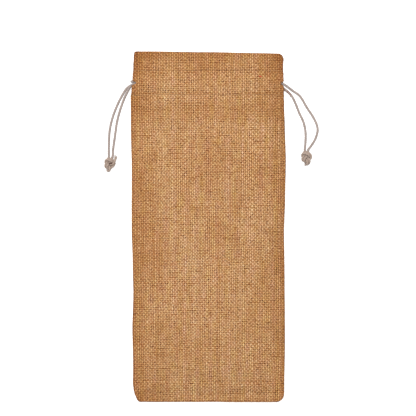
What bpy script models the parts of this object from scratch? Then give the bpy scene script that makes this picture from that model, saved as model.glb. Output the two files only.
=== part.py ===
"""A flat jute bottle bag with two cotton drawcords, lying on its back.

The bag lies on the plane z = 0 with its front up. X runs across the bag, Y runs from its bottom seam
to its mouth, and the origin is under the bag's middle. Two panels are sewn together on three sides.
Their top edges are turned in as facings and stitched twice, which makes a cord channel in each panel.
Two drawcords run through both channels, one with its ends at the left and one at the right.
Lengths are in metres.
"""

import math

import bpy
from mathutils import Vector

MM = 0.001

# The bag as it lies.
BAG_WIDTH = 152.5 * MM
BAG_LENGTH = 351.0 * MM  # at the left edge
MOUTH_DROP = 2.4 * MM  # the mouth is this much lower at the right edge
JUTE = 1.1 * MM
FACING = 1.0 * MM
GAP = 0.3 * MM  # between pieces that touch

# The hem and the cord channel in it, measured along Y.
LOWER_STITCH_Y = 131.4 * MM
UPPER_STITCH_Y = 155.6 * MM
CHANNEL_LOW_Y = 133.6 * MM
CHANNEL_HIGH_Y = 151.0 * MM
FACING_END_Y = 127.0 * MM
SLIT_LOW_Y = 132.8 * MM
SLIT_HIGH_Y = 151.4 * MM

# Distances from the bag's middle line, and the widths of the cloth turned in.
FLAT_X = 44.0 * MM  # the front is level out to here
FACING_X = 66.0 * MM
ALLOWANCE = 9.0 * MM

# Heights of the front panel's underside over the floor: at its middle, over the facing's edge, and
# at the seam.
SEAM_Z = 3.9 * MM
BODY_UNDER = (10.4 * MM, 7.0 * MM, SEAM_Z)
HEM_UNDER = (11.6 * MM, 6.9 * MM, SEAM_Z)
CHANNEL_UNDER = (15.0 * MM, 10.4 * MM, 7.4 * MM)

# Drawcords, knots and threads.
CORD = 2.3 * MM
CORD_STEP = 6.7 * MM
THREAD = 0.7 * MM
FLOOR_CLEARANCE = 0.05 * MM

HALF_WIDTH = BAG_WIDTH / 2
HALF_LENGTH = BAG_LENGTH / 2
BACK_CORD_Z = JUTE + GAP + CORD / 2
BACK_CHANNEL_TOP = JUTE + CORD + 2 * GAP  # underside of the back facing over the cords
EDGE_CORD_Z = BACK_CORD_Z + CORD + GAP
LOOP_TOP_Z = 6.1 * MM  # where a far loop leaves the front channel
LEAN = 0.3 * MM  # how far a front run lies off the channel's middle, to leave room for its travel
FLOOR_CORD_Z = CORD / 2 + FLOOR_CLEARANCE


# Materials

def fabric(name, colour, roughness):
    material = bpy.data.materials.new(name)
    material.use_nodes = True
    shader = material.node_tree.nodes["Principled BSDF"]
    shader.inputs["Base Color"].default_value = (*colour, 1.0)
    shader.inputs["Roughness"].default_value = roughness
    shader.inputs["Metallic"].default_value = 0.0
    return material


def jute(name):
    return fabric(name + "_jute", (0.50, 0.27, 0.12), 0.90)


def cotton(name):
    return fabric(name + "_cotton", (0.66, 0.60, 0.54), 0.85)


def thread(name):
    return fabric(name + "_thread", (0.46, 0.26, 0.12), 0.75)


# Solids

def add_mesh(name, points, faces, material):
    mesh = bpy.data.meshes.new(name)
    mesh.from_pydata(points, [], faces)
    mesh.update()
    mesh.materials.append(material)
    piece = bpy.data.objects.new(name, mesh)
    bpy.context.scene.collection.objects.link(piece)
    return piece


def slab(name, rows, material):
    """A closed sheet. Each row is a list of (x, y, underside z, top z), in order of rising x, and the
    rows go in order of rising y."""
    wide = len(rows[0])
    layer = wide * len(rows)
    points = [(x, y, low) for row in rows for x, y, low, high in row]
    points += [(x, y, high) for row in rows for x, y, low, high in row]
    faces = []
    for r in range(len(rows) - 1):
        for c in range(wide - 1):
            a = r * wide + c
            b = a + wide
            faces.append((a, b, b + 1, a + 1))
            faces.append((layer + a, layer + a + 1, layer + b + 1, layer + b))
    edge = list(range(wide))
    edge += [r * wide + wide - 1 for r in range(1, len(rows))]
    edge += [layer - 2 - c for c in range(wide - 1)]
    edge += [r * wide for r in range(len(rows) - 2, 0, -1)]
    for here, after in zip(edge, edge[1:] + edge[:1]):
        faces.append((here, after, layer + after, layer + here))
    return add_mesh(name, points, faces, material)


def box(name, low, high, material):
    rows = [[(x, y, low[2], high[2]) for x in (low[0], high[0])] for y in (low[1], high[1])]
    return slab(name, rows, material)


def tube(name, points, diameter, sides, material):
    """A round cord or thread along these points, with closed ends. sides is the bevel resolution."""
    curve = bpy.data.curves.new(name, "CURVE")
    curve.dimensions = "3D"
    curve.bevel_depth = diameter / 2
    curve.bevel_resolution = sides
    curve.use_fill_caps = True
    spline = curve.splines.new("POLY")
    spline.points.add(len(points) - 1)
    for point, place in zip(spline.points, points):
        point.co = (*place, 1.0)
    curve.materials.append(material)
    piece = bpy.data.objects.new(name, curve)
    bpy.context.scene.collection.objects.link(piece)
    return piece


# The bag's outline and height

def half_width(y, corner):
    """Half the bag's width at y, with this radius at the bottom corner."""
    rise = y + HALF_LENGTH
    if rise >= corner:
        return HALF_WIDTH
    return HALF_WIDTH - corner + math.sqrt(corner ** 2 - (corner - rise) ** 2)


def mouth_drop(x):
    """How far the slanting mouth lies below its left end."""
    return MOUTH_DROP * (x + HALF_WIDTH) / BAG_WIDTH


def across(x, heights):
    """The height at x, from the heights at the middle, over the facing's edge and at the seam."""
    middle, facing_edge, seam = heights
    x = abs(x)
    if x <= FLAT_X:
        return middle
    if x <= FACING_X:
        return middle + (facing_edge - middle) * (x - FLAT_X) / (FACING_X - FLAT_X)
    return facing_edge + (seam - facing_edge) * (x - FACING_X) / (HALF_WIDTH - FACING_X)


CORNERS = (6.0 * MM, 8.5 * MM)  # radii of the left and right bottom corners
CROSS_X = (-FACING_X, -FLAT_X, FLAT_X, FACING_X)


def panel_row(y, under, top=None, at_mouth=False):
    """One row of a panel across the bag. A row at the mouth slants with it."""
    left, right = (half_width(y, corner) for corner in CORNERS)
    row = []
    for x in (-left, *CROSS_X, right):
        slanted = y - mouth_drop(x) if at_mouth else y
        low = across(x, under) if isinstance(under, tuple) else under
        row.append((x, slanted, low, low + JUTE if top is None else top))
    return row


def corner_heights():
    """Heights above the bottom edge where the rounded corners need a row."""
    return [0.0, 0.6 * MM, 2.2 * MM, 4.5 * MM, max(CORNERS)]


def front_panel():
    fold = 1.2 * MM  # the turned edge at the mouth is this deep and covers the facing's edge
    lip = tuple(z - drop for z, drop in zip(HEM_UNDER, (1.3 * MM, 1.3 * MM, 0.7 * MM)))
    flat = (SEAM_Z, SEAM_Z, SEAM_Z)
    low = (6.5 * MM, 5.2 * MM, SEAM_Z)
    rows = [panel_row(-HALF_LENGTH + rise, flat) for rise in corner_heights()]
    rows += [
        panel_row(-160.0 * MM, low),
        panel_row(-138.0 * MM, BODY_UNDER),
        panel_row(119.0 * MM, BODY_UNDER),
        panel_row(FACING_END_Y - 1.5 * MM, HEM_UNDER),
        panel_row(LOWER_STITCH_Y + 0.6 * MM, HEM_UNDER),
        panel_row(CHANNEL_LOW_Y, CHANNEL_UNDER),
        panel_row(CHANNEL_HIGH_Y, CHANNEL_UNDER),
        panel_row(UPPER_STITCH_Y - 0.6 * MM, HEM_UNDER),
        panel_row(HALF_LENGTH - fold - 0.2 * MM, HEM_UNDER, at_mouth=True),
        panel_row(HALF_LENGTH - fold, HEM_UNDER, at_mouth=True),
        panel_row(HALF_LENGTH, HEM_UNDER, at_mouth=True),
    ]
    for row in rows[-2:]:
        for place, (x, y, under, top) in enumerate(row):
            row[place] = (x, y, across(x, lip), top)
    return slab("front_panel", rows, jute("front_panel"))


def back_panel():
    fold = 1.2 * MM
    lip_top = JUTE + GAP + FACING
    rows = [panel_row(-HALF_LENGTH + rise, 0.0) for rise in corner_heights()]
    rows += [
        panel_row(0.0, 0.0),
        panel_row(HALF_LENGTH - fold - 0.2 * MM, 0.0, at_mouth=True),
        panel_row(HALF_LENGTH - fold, 0.0, top=lip_top, at_mouth=True),
        panel_row(HALF_LENGTH, 0.0, top=lip_top, at_mouth=True),
    ]
    return slab("back_panel", rows, jute("back_panel"))


# The turned-in cloth

def front_hem_facing():
    """Follows the underside of the front panel's hem, and stays below the cords."""
    edge = 1.9 * MM  # from the mouth to the facing's folded edge
    rows = []
    for y, at_mouth in ((FACING_END_Y, False), (HALF_LENGTH - edge, True)):
        row = []
        for x in CROSS_X:
            top = across(x, HEM_UNDER) - GAP
            row.append((x, y - at_mouth * mouth_drop(x), top - FACING, top))
        rows.append(row)
    return slab("front_hem_facing", rows, jute("front_hem_facing"))


def back_hem_facing():
    """Lies on the back panel, and rises over the cords between the two stitch lines."""
    edge = 1.9 * MM
    low = JUTE + GAP
    high = BACK_CHANNEL_TOP
    stations = (
        (FACING_END_Y, low, False),
        (LOWER_STITCH_Y - 0.4 * MM, low, False),
        (CHANNEL_LOW_Y - 0.6 * MM, high, False),
        (CHANNEL_HIGH_Y + 0.6 * MM, high, False),
        (UPPER_STITCH_Y - 0.8 * MM, low, False),
        (HALF_LENGTH - edge, low, True),
    )
    rows = []
    for y, under, at_mouth in stations:
        ends = (-FACING_X, FACING_X)
        rows.append([(x, y - at_mouth * mouth_drop(x), under, under + FACING) for x in ends])
    return slab("back_hem_facing", rows, jute("back_hem_facing"))


ALLOWANCE_LOW = JUTE + GAP
ALLOWANCE_HIGH = SEAM_Z - GAP
ALLOWANCE_OUT = HALF_WIDTH - 1.1 * MM
SEAM_LOW_Y = -HALF_LENGTH + 10.2 * MM
SEAM_HIGH_Y = SLIT_LOW_Y - 2.4 * MM
HEADING_LOW_Y = SLIT_HIGH_Y + 2.0 * MM
HEADING_HIGH_Y = HALF_LENGTH - MOUTH_DROP - 1.8 * MM


def side_allowance(name, side, low_y, high_y, width):
    """The two layers of a side seam, turned to the inside."""
    ends = sorted((side * ALLOWANCE_OUT, side * (ALLOWANCE_OUT - width)))
    low = (ends[0], low_y, ALLOWANCE_LOW)
    high = (ends[1], high_y, ALLOWANCE_HIGH)
    return box(name, low, high, jute(name))


def bottom_seam_allowance():
    reach = ALLOWANCE_OUT - ALLOWANCE - GAP
    low = (-reach, -HALF_LENGTH + 1.1 * MM, ALLOWANCE_LOW)
    high = (reach, -HALF_LENGTH + 1.1 * MM + ALLOWANCE, ALLOWANCE_HIGH)
    return box("bottom_seam_allowance", low, high, jute("bottom_seam_allowance"))


# Threads

def straight(start, end, step):
    count = max(1, round((Vector(end) - Vector(start)).length / step))
    return [Vector(start).lerp(Vector(end), i / count) for i in range(count + 1)]


def zigzag(start, end, step, swing):
    """Points from start to end that swing to either side by the vector swing."""
    points = straight(start, end, step)
    return [point + Vector(swing) * (1 if i % 2 else -1) for i, point in enumerate(points)]


def seam_thread(name, side, low_y, high_y):
    """The seam's own stitches, in the groove between the panels' edges."""
    x = side * (HALF_WIDTH - 0.4 * MM)
    z = (ALLOWANCE_LOW + ALLOWANCE_HIGH) / 2
    points = zigzag((x, low_y, z), (x, high_y, z), 8.0 * MM, (0, 0, 0.35 * MM))
    return tube(name, points, THREAD, 1, thread(name))


def bottom_seam_thread():
    y = -HALF_LENGTH + 0.4 * MM
    z = (ALLOWANCE_LOW + ALLOWANCE_HIGH) / 2
    reach = HALF_WIDTH - max(CORNERS) - 1.0 * MM
    points = zigzag((-reach, y, z), (reach, y, z), 8.0 * MM, (0, 0, 0.35 * MM))
    return tube("bottom_seam_thread", points, THREAD, 1, thread("bottom_seam_thread"))


def side_overlock(name, side):
    """Thread over the raw edge of a side seam's allowance."""
    x = side * (ALLOWANCE_OUT - ALLOWANCE - 1.0 * MM)
    z = (ALLOWANCE_LOW + ALLOWANCE_HIGH) / 2
    low_y = SEAM_LOW_Y + 2.0 * MM
    points = zigzag((x, low_y, z), (x, FACING_END_Y - 1.5 * MM, z), 5.0 * MM, (0.2 * MM, 0, 0.6 * MM))
    return tube(name, points, THREAD, 1, thread(name))


def bottom_overlock():
    y = -HALF_LENGTH + 1.1 * MM + ALLOWANCE + 1.0 * MM
    z = (ALLOWANCE_LOW + ALLOWANCE_HIGH) / 2
    reach = ALLOWANCE_OUT - ALLOWANCE - 3.0 * MM
    points = zigzag((-reach, y, z), (reach, y, z), 5.0 * MM, (0, 0.2 * MM, 0.6 * MM))
    return tube("bottom_overlock", points, THREAD, 1, thread("bottom_overlock"))


def front_channel_stitch(name, y):
    """A stitch line lying on the front of the hem, over the whole width."""
    reach = HALF_WIDTH - 1.0 * MM
    rise = JUTE + GAP + THREAD / 2
    xs = [-reach, *CROSS_X, reach]
    points = []
    for start, end in zip(xs, xs[1:]):
        count = max(1, round((end - start) / (9.0 * MM)))
        points += [start + (end - start) * i / count for i in range(count)]
    points.append(reach)
    route = [(x, y, across(x, HEM_UNDER) + rise) for x in points]
    return tube(name, route, THREAD, 1, thread(name))


def back_channel_stitch(name, y):
    """A stitch line where it shows inside the bag, on the back facing."""
    reach = FACING_X - 1.0 * MM
    z = JUTE + GAP + FACING + GAP + THREAD / 2
    return tube(name, straight((-reach, y, z), (reach, y, z), 12.0 * MM), THREAD, 1, thread(name))


def bar_tack(name, side, y):
    """A short block of thread over the seam's edge, at one end of the cord slit."""
    length = 1.8 * MM
    near = HALF_WIDTH + GAP
    ends = sorted((side * near, side * (near + 0.8 * MM)))
    low = (ends[0], y - length / 2, GAP)
    high = (ends[1], y + length / 2, SEAM_Z + JUTE + GAP)
    return box(name, low, high, thread(name))


# Drawcords

def heading(stops, place):
    """The direction of the smooth curve at a stop, per unit of length."""
    before = stops[max(place - 1, 0)]
    after = stops[min(place + 1, len(stops) - 1)]
    here = stops[place]
    return (after - before) / ((after - here).length + (here - before).length)


def smooth(stops, place, share):
    """A point this share of the way along the smooth curve from one stop to the next."""
    start = stops[place]
    end = stops[place + 1]
    length = (end - start).length
    ease = share * share * (3 - 2 * share)
    leaving = share * (1 - share) ** 2 * length
    arriving = -share * share * (1 - share) * length
    curve = leaving * heading(stops, place) + arriving * heading(stops, place + 1)
    return start.lerp(end, ease) + curve


def route_points(stops, step):
    """Points about a step apart on a smooth curve through the stops, which are in millimetres."""
    stops = [Vector(stop) * MM for stop in stops]
    points = [stops[0]]
    for place in range(len(stops) - 1):
        length = (stops[place + 1] - stops[place]).length
        count = max(1, round(length / step))
        points += [smooth(stops, place, i / count) for i in range(1, count + 1)]
    return points


def floor(x, y, lift=0.0):
    """A stop on the surface that the bag lies on. Stops are in millimetres."""
    return (x, y, FLOOR_CORD_Z / MM + lift)


def front(x, y, own_side):
    """A stop in the front channel, between the facing and the panel. The run lies low on its own side
    of the bag and high on the far side, because the slope of the channel lifts and lowers it as it
    travels."""
    facing_top = across(x * MM, HEM_UNDER) - GAP
    lean = -LEAN * max(-1.0, min(1.0, x * MM * own_side / FLAT_X))
    return (x, y, ((facing_top + across(x * MM, CHANNEL_UNDER)) / 2 + lean) / MM)


def back(x, y):
    """A stop in the back channel."""
    return (x, y, BACK_CORD_Z / MM)


def far_loop(x, front_y, back_y, reach):
    """Stops round a loop that passes from the front channel to the back one, at the far slit. It
    starts and ends at x, and reaches this far beyond it."""
    high = Vector((x, front_y, LOOP_TOP_Z / MM))
    low = Vector((x, back_y, BACK_CORD_Z / MM))
    middle = (high + low) / 2
    outward = Vector((math.copysign(reach, x), 0, 0))
    turns = (math.pi * i / 5 for i in range(6))
    return [tuple(middle + (high - middle) * math.cos(t) + outward * math.sin(t)) for t in turns]


# Each route runs from the knot up one free strand, through the front channel, round the far side
# and back through the back channel, and down the other strand to the knot.
LEFT_ROUTE = [
    floor(-95.6, 70.4, 0.9),
    floor(-95.3, 77.0),
    floor(-93.5, 90.0),
    floor(-91.3, 105.0),
    floor(-87.9, 118.0),
    floor(-83.4, 129.0, 0.5),
    floor(-79.2, 136.2, 2.6),
    (-75.6, 140.6, 5.2),
    (-71.0, 142.8, 6.5),
    front(-66.0, 143.2, -1),
    front(-59.0, 142.8, -1),
    front(-52.0, 142.3, -1),
    front(-45.0, 141.8, -1),
    front(-36.0, 141.4, -1),
    front(0.0, 140.0, -1),
    front(36.0, 138.6, -1),
    front(45.0, 138.3, -1),
    front(52.0, 138.1, -1),
    front(59.0, 137.9, -1),
    front(65.0, 137.7, -1),
    (69.2, 137.6, 8.0),
    *far_loop(73.0, 137.4, 134.9, 2.2),
    back(68.0, 135.0),
    back(0.0, 138.0),
    back(-62.0, 141.4),
    back(-71.5, 142.4),
    (-76.4, 142.0, 2.95),
    floor(-81.4, 138.8, 0.5),
    floor(-86.0, 132.0),
    floor(-91.6, 120.6),
    floor(-96.2, 108.0),
    floor(-98.8, 95.5),
    floor(-99.5, 82.0),
    floor(-99.5, 70.4, 0.9),
]

RIGHT_ROUTE = [
    floor(100.6, 77.2, 0.9),
    floor(103.2, 80.6),
    floor(108.0, 88.8),
    floor(110.0, 98.0),
    floor(106.8, 107.6),
    floor(99.2, 119.6),
    floor(92.2, 131.0),
    floor(84.8, 136.4, 0.7),
    (79.0, 140.4, 3.6),
    (75.2, 142.4, 5.0),
    (71.0, 143.5, 6.4),
    front(66.0, 143.9, 1),
    front(59.0, 144.0, 1),
    front(52.0, 144.0, 1),
    front(45.0, 144.0, 1),
    front(36.0, 144.1, 1),
    front(0.0, 145.0, 1),
    front(-36.0, 146.0, 1),
    front(-45.0, 146.4, 1),
    front(-52.0, 146.7, 1),
    front(-59.0, 147.0, 1),
    front(-65.0, 147.3, 1),
    (-69.2, 147.6, 8.0),
    *far_loop(-74.0, 148.0, 145.9, 2.4),
    back(-69.0, 145.9),
    back(0.0, 143.4),
    back(64.0, 141.4),
    back(71.5, 140.2),
    (76.2, 137.9, 2.95),
    floor(80.8, 134.5, 0.5),
    floor(84.6, 130.2),
    floor(88.2, 122.6),
    floor(91.6, 114.0),
    floor(95.8, 104.8),
    floor(97.8, 95.0),
    floor(97.8, 85.0),
    floor(97.0, 77.2, 0.9),
]


def drawcord(name, route):
    return tube(name, route_points(route, CORD_STEP), CORD, 2, cotton(name))


def knot(name, middle, size, turn):
    """The outer shape of an overhand knot, as a rounded block with blunt ends lying on the floor."""
    rings = 7
    sides = 12
    bluntness = 0.6
    points = []
    for ring in range(1, rings):
        angle = math.pi * ring / rings
        for side in range(sides):
            around = 2 * math.pi * side / sides
            reach = math.sin(angle) ** bluntness / 2
            x = reach * math.cos(around) * size[0]
            y = -math.cos(angle) * size[1] / 2
            z = reach * math.sin(around) * size[2]
            points.append((x, y, z))
    points += [(0, -size[1] / 2, 0), (0, size[1] / 2, 0)]
    bottom = len(points) - 2
    top = len(points) - 1
    faces = []
    for ring in range(rings - 2):
        for side in range(sides):
            a = ring * sides + side
            b = ring * sides + (side + 1) % sides
            faces.append((a, a + sides, b + sides, b))
    last = (rings - 2) * sides
    for side in range(sides):
        after = (side + 1) % sides
        faces.append((bottom, side, after))
        faces.append((top, last + after, last + side))
    piece = add_mesh(name, points, faces, cotton(name))
    piece.location = (middle[0], middle[1], size[2] / 2)
    piece.rotation_euler = (0, 0, turn)
    return piece


# The whole bag

def pull_axis(name, x):
    """An empty on a drawcord's line of travel, at its own slit."""
    empty = bpy.data.objects.new(name, None)
    empty.location = (x, (SLIT_LOW_Y + SLIT_HIGH_Y) / 2, EDGE_CORD_Z)
    bpy.context.scene.collection.objects.link(empty)
    return empty


def attach(parent, *pieces):
    bpy.context.view_layer.update()
    for piece in pieces:
        piece.parent = parent
        piece.matrix_parent_inverse = parent.matrix_world.inverted()


def build_cloth():
    front_panel()
    back_panel()
    front_hem_facing()
    back_hem_facing()
    bottom_seam_allowance()
    for side, word in ((-1, "left"), (1, "right")):
        side_allowance(word + "_seam_allowance", side, SEAM_LOW_Y, SEAM_HIGH_Y, ALLOWANCE)
        side_allowance(word + "_heading_allowance", side, HEADING_LOW_Y, HEADING_HIGH_Y, ALLOWANCE)


def build_threads():
    bottom_seam_thread()
    bottom_overlock()
    for side, word in ((-1, "left"), (1, "right")):
        seam_thread(word + "_seam_thread", side, SEAM_LOW_Y, SEAM_HIGH_Y)
        seam_thread(word + "_heading_seam_thread", side, HEADING_LOW_Y, HEADING_HIGH_Y)
        side_overlock(word + "_overlock", side)
        bar_tack(word + "_upper_bar_tack", side, SLIT_HIGH_Y + 1.6 * MM)
        bar_tack(word + "_lower_bar_tack", side, SLIT_LOW_Y - 1.6 * MM)
    front_channel_stitch("front_lower_channel_stitch", LOWER_STITCH_Y)
    front_channel_stitch("front_upper_channel_stitch", UPPER_STITCH_Y)
    back_channel_stitch("back_lower_channel_stitch", LOWER_STITCH_Y - 1.6 * MM)
    back_channel_stitch("back_upper_channel_stitch", UPPER_STITCH_Y + 0.4 * MM)


def build_drawcords():
    left_knot = knot("left_knot", (-98.4 * MM, 61.9 * MM), (10.4 * MM, 16.6 * MM, 7.4 * MM), 0.10)
    right_knot = knot("right_knot", (98.4 * MM, 68.6 * MM), (9.8 * MM, 16.8 * MM, 7.4 * MM), 0.12)
    left = drawcord("left_drawcord", LEFT_ROUTE)
    right = drawcord("right_drawcord", RIGHT_ROUTE)
    attach(pull_axis("left_pull_axis", -HALF_WIDTH), left, left_knot)
    attach(pull_axis("right_pull_axis", HALF_WIDTH), right, right_knot)


for old in list(bpy.data.objects):
    bpy.data.objects.remove(old, do_unlink=True)
build_cloth()
build_threads()
build_drawcords()
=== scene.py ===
"""The looks of a flat jute bottle bag with two cotton drawcords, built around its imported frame.

The bag lies on its back on the floor, z = 0, with its front up and its mouth towards +Y. Each panel
is one rectangle of woven cloth, folded in over its edges. Lengths are in metres, but the lists of
stations and stops are in millimetres.
"""

import math

import bpy
import numpy as np
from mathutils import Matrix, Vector


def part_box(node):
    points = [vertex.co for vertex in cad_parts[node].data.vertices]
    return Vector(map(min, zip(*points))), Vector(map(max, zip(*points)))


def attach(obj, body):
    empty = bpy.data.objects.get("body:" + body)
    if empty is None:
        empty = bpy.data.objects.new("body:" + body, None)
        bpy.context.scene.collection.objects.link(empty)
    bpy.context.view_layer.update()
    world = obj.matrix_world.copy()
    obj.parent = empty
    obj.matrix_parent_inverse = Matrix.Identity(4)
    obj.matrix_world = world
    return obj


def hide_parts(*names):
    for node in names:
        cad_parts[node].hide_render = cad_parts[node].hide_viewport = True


MM = 0.001
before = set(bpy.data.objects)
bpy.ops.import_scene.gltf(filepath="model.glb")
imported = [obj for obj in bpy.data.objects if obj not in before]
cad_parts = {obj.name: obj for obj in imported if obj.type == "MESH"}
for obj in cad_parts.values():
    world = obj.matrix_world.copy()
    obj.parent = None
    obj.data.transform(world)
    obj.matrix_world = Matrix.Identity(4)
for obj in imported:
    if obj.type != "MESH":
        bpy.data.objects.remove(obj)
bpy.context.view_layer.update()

FRONT_LOW, FRONT_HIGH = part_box("front_panel")
HALF_WIDTH = (FRONT_HIGH.x - FRONT_LOW.x) / 2
BOTTOM_Y = FRONT_LOW.y - 0.25 * MM  # the rolled edge swells a little past the frame
MOUTH_Y = FRONT_HIGH.y  # at the left edge
MOUTH_DROP = 2.4 * MM  # the mouth is this much lower at the right edge
MOUTH_SAG = 0.5 * MM  # and this much lower in the middle than a straight line
FACING_END_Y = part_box("front_hem_facing")[0].y
LOWER_STITCH_Y = sum(p.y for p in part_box("front_lower_channel_stitch")) / 2
UPPER_STITCH_Y = sum(p.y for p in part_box("front_upper_channel_stitch")) / 2
SLIT_Y = 143.5 * MM  # the middle of the cords' places in the slits
SIGNS = {"left": -1.0, "right": 1.0}

# The cloth.
WARP_PITCH = 1.74 * MM
WEFT_PITCH = 1.80 * MM
CLOTH = 0.9 * MM
ALLOWANCE = 9.0 * MM
SIDE_ROLL = 1.15 * MM  # radius of the cloth's outer surface where it turns in
SIDE_TAKE_UP = (math.pi - 1) * SIDE_ROLL  # the flat cloth that this takes, past the edge
MOUTH_ROLL = 1.2 * MM
FACING_HALF_WIDTH = 70.5 * MM
LINE_DEPTH = 0.24 * MM  # how far the lines between yarns lie below the yarns' crowns
HOLE_DEPTH = 0.52 * MM  # and the corners between four yarns
SWAY = 0.7 * MM  # how far yarns wander off their straight lines, over many yarns
FINE_SWAY = 0.16 * MM  # and from yarn to yarn
COARSE = 4  # the inner skin has one face for this many half yarns each way
CORNER_RADII = {"left": 2.0 * MM, "right": 8.5 * MM, "mouth": 2.0 * MM}

# How far each edge lies outside (+) or inside (-) the straight outline, along Y.
LEFT_EDGE = (
    (-176, -6.4), (-173, -5.0), (-170, -3.6), (-167, -2.4), (-164, -1.6), (-157, -0.9), (-143, -1.05),
    (-103, -0.3), (-63, -1.3), (-43, -0.7), (-3, 0.45), (50, 0.3), (100, 1.15), (128, 1.3), (138, 0.4),
    (148, -0.8), (160, -1.3), (170, -1.7), (176, -2.5),
)
RIGHT_EDGE = (
    (-175, 0.3), (-113, 1.15), (-53, 0.8), (-3, 0.25), (27, 1.2), (70, 1.95), (97, 0.9),
    (123, 0.3), (132, -0.2), (157, -0.85), (164, -0.8), (167.5, -0.2), (170, -1.3), (173, -3.0),
)
# The front panel draws back at the slits, and shows the cords coming out.
# Each has its middle's height, its depth and half its length.
SLIT_DENTS = {"left": (143.2 * MM, 4.6 * MM, 2.7 * MM), "right": (142.4 * MM, 3.6 * MM, 2.7 * MM)}
# Painted shade at each edge: how much darker the cloth is drawn there, and how fast that fades away from
# the edge.
PAINTED_EDGE_SHADE = {
    "left": (0.30, 18 * MM),
    "right": (0.33, 17 * MM),
    "mouth": (0.33, 13 * MM),
    "bottom": (0.08, 20 * MM),
}
PAINTED_CREASE_SHADE = {"left": 0.45, "right": 0.45, "mouth": 0.0, "bottom": 0.45}  # and right on the edge
CREASE_REACH = 1.3 * MM
PAINTED_HEADING_SHADE = {"left": 0.20, "right": 0.25}  # as well, at the sides of the heading
DIP_Y = 115 * MM  # the middle of the darker band below the cord channel
STITCH = 3.6 * MM

# Heights of the front's outer surface along Y, in its middle and at its side seams.
MIDDLE_HEIGHT = (
    (-175.5, 5.0), (-170, 5.3), (-158, 8.2), (-136, 11.3), (20, 11.7), (90, 11.5), (127, 13.0),
    (131.4, 13.0), (141, 14.7), (147, 14.7), (155.6, 13.0), (174, 12.8),
)
SEAM_HEIGHT = (
    (-175.5, 5.0), (116, 5.0), (129, 5.8), (138, 8.0), (148, 8.0), (154, 6.4), (176, 5.6),
)
# Heights of the lower surface of the front's facing, in its middle.
FACING_HEIGHT = ((127, 10.6), (133, 10.6), (142, 10.0), (150, 10.1), (156, 10.6), (176, 10.4))
SLIT_SWELL = 1.3 * MM  # the front stands this much higher beside each slit, where the cords pass
SLIT_SINK = 1.5 * MM  # and its facing lies this much lower
LOOSENESS = 0.28 * MM  # the height of the front's soft waves
BACK_PULL = 0.5 * MM  # how far the back's stitch lines are drawn up off the floor


# Small tools

def eased(at, stations):
    """A value at each place, from (place, value) stations in millimetres, eased between them."""
    places, values = np.array(stations, float).T * MM
    at = np.asarray(at, float)
    before = np.clip(np.searchsorted(places, at) - 1, 0, len(places) - 2)
    share = np.clip((at - places[before]) / (places[before + 1] - places[before]), 0, 1)
    share = share * share * (3 - 2 * share)
    return values[before] + (values[before + 1] - values[before]) * share


def hump(at, middle, half_width):
    """1 at the middle, falling smoothly to 0 at half_width from it and beyond."""
    reach = np.clip(np.abs(at - middle) / half_width, 0, 1)
    return (1 + np.cos(np.pi * reach)) / 2


def ripples(x, y, size_x, size_y, seed, waves=14):
    """Smooth random waves, about -1 to 1, with features about this many millimetres large."""
    size_x, size_y = size_x * MM, size_y * MM
    rng = np.random.default_rng(seed)
    total = np.zeros(np.broadcast(x, y).shape)
    for turn, phase, stretch in zip(*(rng.uniform(0, 1, waves) for _ in range(3))):
        along = math.cos(2 * math.pi * turn) * x / size_x + math.sin(2 * math.pi * turn) * y / size_y
        total += np.sin(math.pi * along * (0.5 + stretch) + 2 * math.pi * phase)
    return total / math.sqrt(waves)


def put(name, data, place=(0, 0, 0)):
    thing = bpy.data.objects.new(name, data)
    thing.location = place
    bpy.context.scene.collection.objects.link(thing)
    return thing


def add_mesh(name, points, faces, material):
    """faces is a list of arrays, each holding faces with the same number of corners."""
    mesh = bpy.data.meshes.new(name)
    mesh.vertices.add(len(points))
    mesh.vertices.foreach_set("co", np.asarray(points, np.float32).ravel())
    groups = [np.asarray(group, np.int32) for group in faces if len(group)]
    sizes = np.concatenate([np.full(len(group), group.shape[1]) for group in groups])
    corners = np.concatenate([group.ravel() for group in groups])
    mesh.loops.add(len(corners))
    mesh.loops.foreach_set("vertex_index", corners)
    mesh.polygons.add(len(sizes))
    mesh.polygons.foreach_set("loop_start", np.cumsum(sizes) - sizes)
    mesh.polygons.foreach_set("use_smooth", np.ones(len(sizes), bool))
    mesh.update(calc_edges=True)
    mesh.materials.append(material)
    return put(name, mesh)


def set_uv(piece, values, name):
    """Gives each vertex's value to its face corners, in a UV map of this name."""
    mesh = piece.data
    corners = np.zeros(len(mesh.loops), np.int32)
    mesh.loops.foreach_get("vertex_index", corners)
    layer = mesh.uv_layers.new(name=name)
    layer.data.foreach_set("uv", np.asarray(values, np.float32)[corners].ravel())


def arithmetic(operation):
    return lambda value, other: value.math(operation, other)


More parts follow.
